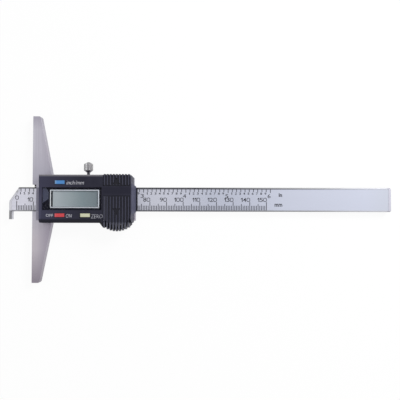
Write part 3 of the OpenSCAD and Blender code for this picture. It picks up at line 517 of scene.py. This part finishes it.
def onto_bevel(bm):
    """Lowers a mark onto the slanted bevel of the beam's tip, which is 1 deep."""
    slant, corner_x, corner_y = 0.7, 5.6, 7.2     # its edge, from the beam's low X and middle
    fall = 0.6827                                 # how much it falls for each millimetre along X
    lift = 0.02                                   # how far the mark stands out of it
    for v in bm.verts:
        away = v.co.x / MM - BEAM_X0 - corner_x - slant * (v.co.y / MM - corner_y)
        v.co.z += MM * (lift - max(0.0, 1.0 - fall * away))


marks = bmesh.new()
for i in range(MM_LAST + 1):
    top = MM_ZERO if i == 0 else MM_TEN if i % 10 == 0 else MM_FIVE if i % 5 == 0 else MM_TOP
    tick(marks, ZERO_X + i, MM_FOOT, top)
add("scale_marks_mm", marks, ink, "beam")

marks = bmesh.new()
for i in range(IN_LAST + 1):
    tick(marks, ZERO_X + i * TENTH, IN_LOW if i % 10 else IN_TEN, IN_FOOT if i else IN_ZERO_FOOT)
    if i == 0:
        onto_bevel(marks)
add("scale_marks_inch", marks, ink, "beam")

numbers = bmesh.new()
for i in range(0, MM_LAST + 1, 10):
    right, y0 = ZERO_X + i + 0.15, -1.3
    if i == 0:
        right, y0 = ZERO_X + 1.2, -0.2
    if i == 10:
        right = ZERO_X + i - 0.2
    figure(numbers, str(i), right, y0, y0 + 2.4, 2.0, 1.1, 0.22, 0.005)
add("scale_numbers_mm", numbers, ink, "beam")

numbers = bmesh.new()
for i in range(1, IN_LAST + 1):
    x = ZERO_X + i * TENTH
    if i % 10:      # small numbers at the tenths
        right = x - 0.1 if i % 10 == 1 else x + 0.1
        figure(numbers, str(i % 10), right, 2.95, 4.3, 1.15, 0.55, 0.0, 0.02)
    else:           # larger ones at the inches
        figure(numbers, str(i // 10), x + 0.15, 0.95, 3.3, 1.9, 0.9, 0.0)
add("scale_numbers_inch", numbers, ink, "beam")

units = bmesh.new()
letters(units, "in", (ZERO_X + 157.4, ZERO_X + 159.4, 1.75, 3.95), Z0, Z1, weight=0.035)
letters(units, "mm", (ZERO_X + 154.9, ZERO_X + 159.5, -4.2, -2.4), Z0, Z1, weight=0.025)
add("scale_units", units, ink, "beam")

# ------------------------------------------------------------------ the lettering by the buttons

for name, text, box, shear, weight in (
    ("label_units", "inch/mm", (22.2, 32.4, 8.45, 10.75), 0.25, -0.014),
    ("label_off", "OFF", (10.3, 14.6, -10.5, -8.9), 0.0, -0.014),
    ("label_on", "ON", (22.1, 25.5, -10.9, -8.9), 0.15, -0.02),
    ("label_zero", "ZERO", (36.8, 43.5, -11.3, -9.1), 0.1, -0.028),
):
    word = bmesh.new()
    letters(word, text, box, FRONT_Z - SINK, FRONT_Z + PROUD, shear, weight)
    add(name, word, paint, "slider")

# ------------------------------------------------------------------ inside the window

INSET = 0.75                            # from the display frame's outside to the painted shade's
LEFT, RIGHT, BOTTOM = 0.7, 0.25, 0.15   # the painted shade's widths; the top's is the right's
x0, y0 = (edge("display_frame", axis, LOW) + INSET for axis in (X, Y))
x1, y1 = (edge("display_frame", axis, HIGH) - INSET for axis in (X, Y))
film = edge("display_glass", Z, HIGH)
# painted shade: a dark ring on the film under the frame's inner walls
shade_ring = bmesh.new()
for sides in (
    (x0, x0 + LEFT, y0, y1),
    (x1 - RIGHT, x1, y0, y1),
    (x0 + LEFT, x1 - RIGHT, y1 - RIGHT, y1),
    (x0 + LEFT, x1 - RIGHT, y0, y0 + BOTTOM),
):
    bar(shade_ring, *sides, film - 0.01, film + 0.03)
add("display_frame_shade", shade_ring, frame_shade, "slider")

tray = edge("window_lens", Z, LOW)      # the recess's floor
wx = edge("window_lens", X, LOW)
wy = edge("window_lens", Y, HIGH)
# painted reflection on the lens: a lighter sheet on the recess floor
glare_sheet = bmesh.new()
prism(glare_sheet, [(wx + 0.15, wy - 9.0), (wx + 3.6, wy - 6.65), (wx + 3.6, wy - 2.7),
              (wx + 2.2, wy - 0.15), (wx + 0.15, wy - 0.15)], tray - 0.01, tray + 0.02)
# the painted reflection fades to the right
lens_glare.tint((62, 66, 85), lens_glare.along(X, wx + 1.2, wx + 3.4))
add("lens_glare_sheet", glare_sheet, lens_glare, "slider")

# ------------------------------------------------------------------ floor, light and camera
# Lengths are in metres from here on.


def seen_white(tree):
    """1 for rays from the camera, off a gloss or through glass, which see a white studio."""
    path = tree.nodes.new("ShaderNodeLightPath")
    out = path.outputs["Is Camera Ray"]
    for kind in ("Is Glossy Ray", "Is Transmission Ray"):
        either = tree.nodes.new("ShaderNodeMath")
        either.operation = "MAXIMUM"
        tree.links.new(out, either.inputs[0])
        tree.links.new(path.outputs[kind], either.inputs[1])
        out = either.outputs[0]
    return out


floor = Mat("floor_white", (250, 250, 250), 0.8, spec=0.1)
glow = floor.node("ShaderNodeEmission")
blend = floor.node("ShaderNodeMixShader")
floor.link(floor.math("MULTIPLY", seen_white(floor.t), 0.93), blend.inputs["Fac"])
floor.link(floor.b.outputs[0], blend.inputs[1])
floor.link(glow.outputs[0], blend.inputs[2])
floor.link(blend.outputs[0], floor.t.nodes["Material Output"].inputs["Surface"])
ground = bmesh.new()
bmesh.ops.create_grid(ground, x_segments=2, y_segments=2, size=6.0)
me = bpy.data.meshes.new("floor")
ground.to_mesh(me)
ground.free()
me.materials.append(floor.m)
plane = bpy.data.objects.new("floor", me)
plane.location.z = cad_lo.z - 0.00005
scene.collection.objects.link(plane)

SKY_LIGHT, SKY_SEEN = 0.6, 1.0      # what lights the object, and what seen_white rays see
world = bpy.data.worlds.new("studio")
scene.world = world
world.use_nodes = True
sky = world.node_tree
sky.nodes.clear()
mix = sky.nodes.new("ShaderNodeMixShader")
out = sky.nodes.new("ShaderNodeOutputWorld")
sky.links.new(seen_white(sky), mix.inputs["Fac"])
for i, strength in ((1, SKY_LIGHT), (2, SKY_SEEN)):
    background = sky.nodes.new("ShaderNodeBackground")
    background.inputs["Color"].default_value = (1, 1, 1, 1)
    background.inputs["Strength"].default_value = strength
    sky.links.new(background.outputs[0], mix.inputs[i])
sky.links.new(mix.outputs[0], out.inputs["Surface"])

KEY_PLACE, KEY_AIM = Vector((0.46, 0.3, 0.42)), Vector((0.08, 0, 0))
lamp = bpy.data.lights.new("key", "AREA")
lamp.size = 0.25
lamp.energy = 2.6
key = bpy.data.objects.new("key", lamp)
key.location = KEY_PLACE
key.rotation_euler = (KEY_AIM - KEY_PLACE).to_track_quat("-Z", "Y").to_euler()
scene.collection.objects.link(key)

scene.view_settings.view_transform = "Standard"

CAM_PLACE = Vector((0.1005, -0.011, 0.3583))
CAM_AIM = Vector((0.1005, -0.00024, 0.0055))
ROLL = math.radians(0.12)
cam_data = bpy.data.cameras.new("camera")
cam_data.sensor_width = 36
cam_data.lens = 52.92
cam_data.clip_start = 0.01
cam_data.clip_end = 50
cam = bpy.data.objects.new("camera", cam_data)
cam.location = CAM_PLACE
look = (CAM_AIM - CAM_PLACE).to_track_quat("-Z", "Y").to_matrix()
cam.rotation_euler = (look @ Matrix.Rotation(ROLL, 3, "Z")).to_euler()
scene.collection.objects.link(cam)
scene.camera = cam
